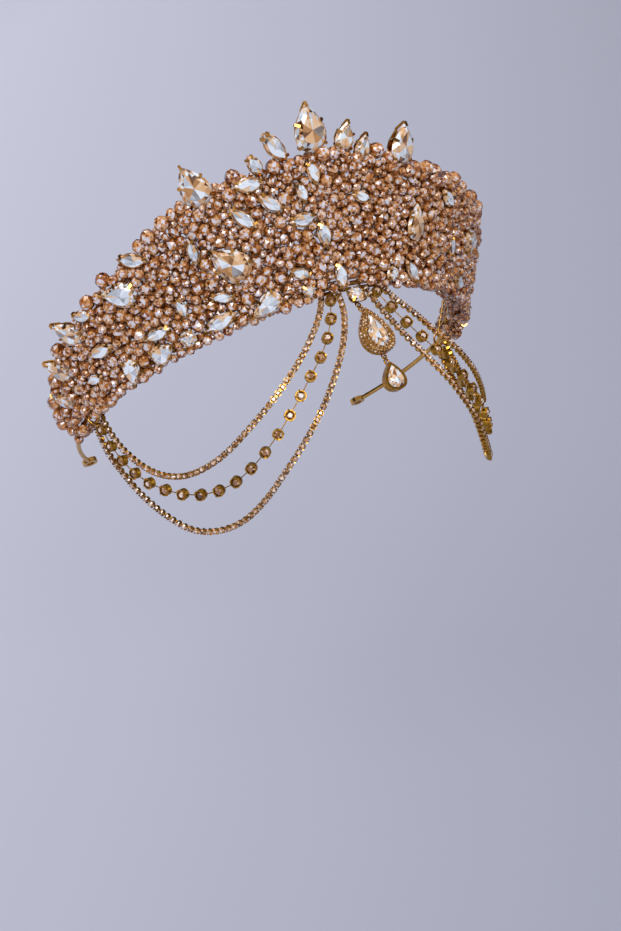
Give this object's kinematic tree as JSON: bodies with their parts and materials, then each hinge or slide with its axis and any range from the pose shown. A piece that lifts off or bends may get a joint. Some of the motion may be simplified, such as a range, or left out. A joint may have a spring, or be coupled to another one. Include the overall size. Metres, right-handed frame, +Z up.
{
  "type": "bridal crown",
  "caption": "Golden bridal crown: a beaded arch with pear and navette cut glass stones, cup chain swags to the temples and a pear drop on the brow.",
  "frame": {"origin": "on the centre line of the worn crown, at the middle of the circle that the headband wire follows, where the head sits inside it", "axes": "+Z up as worn, -Y the way the face looks, +X to the wearer's left"},
  "size_m": [0.1855, 0.1287, 0.162],
  "materials": {
    "gold_metal": "polished",
    "frame_wire": "satin",
    "bead_glass": "gloss",
    "cut_glass": "gloss"
  },
  "bodies": {
    "root": {"headband": "frame_wire", "wire_frame": "frame_wire", "bead_wires": "gold_metal", "beads_left": "bead_glass", "beads_front": "bead_glass", "beads_right": "bead_glass", "small_stones": "cut_glass", "pear_settings": "gold_metal", "navette_settings": "gold_metal", "round_settings": "gold_metal", "hanger_bar": "gold_metal", "connector": "gold_metal", "connector_stone": "cut_glass", "halo_drop": "gold_metal", "halo_drop_stone": "cut_glass", "small_drop": "gold_metal", "small_drop_stone": "cut_glass", "drop_rings": "gold_metal", "chain_inner_left": "gold_metal", "chain_middle_left": "gold_metal", "chain_outer_left": "gold_metal", "chain_inner_right": "gold_metal", "chain_middle_right": "gold_metal", "chain_outer_right": "gold_metal", "chain_end_left": "gold_metal", "chain_end_right": "gold_metal", "pear_top": "cut_glass", "pear_left": "cut_glass", "pear_right": "cut_glass", "pear_top_small_a": "cut_glass", "pear_top_small_b": "cut_glass", "pear_face_left": "cut_glass", "pear_face_right": "cut_glass", "pear_side_left": "cut_glass", "pear_side_right": "cut_glass", "pear_spike_a": "cut_glass", "pear_spike_b": "cut_glass", "pear_spike_c": "cut_glass", "pear_low_a": "cut_glass", "pear_low_b": "cut_glass", "pear_low_c": "cut_glass", "pear_low_d": "cut_glass", "navette_leaf": "cut_glass", "navette_leaf_small": "cut_glass", "navette_edge": "cut_glass", "navette_spike": "cut_glass", "navette_a": "cut_glass", "navette_b": "cut_glass", "navette_c": "cut_glass", "navette_d": "cut_glass", "navette_e": "cut_glass", "navette_f": "cut_glass", "navette_g": "cut_glass", "navette_h": "cut_glass", "navette_i": "cut_glass", "navette_j": "cut_glass", "navette_k": "cut_glass", "navette_l": "cut_glass", "navette_m": "cut_glass", "navette_n": "cut_glass"}
  },
  "joints": []
}
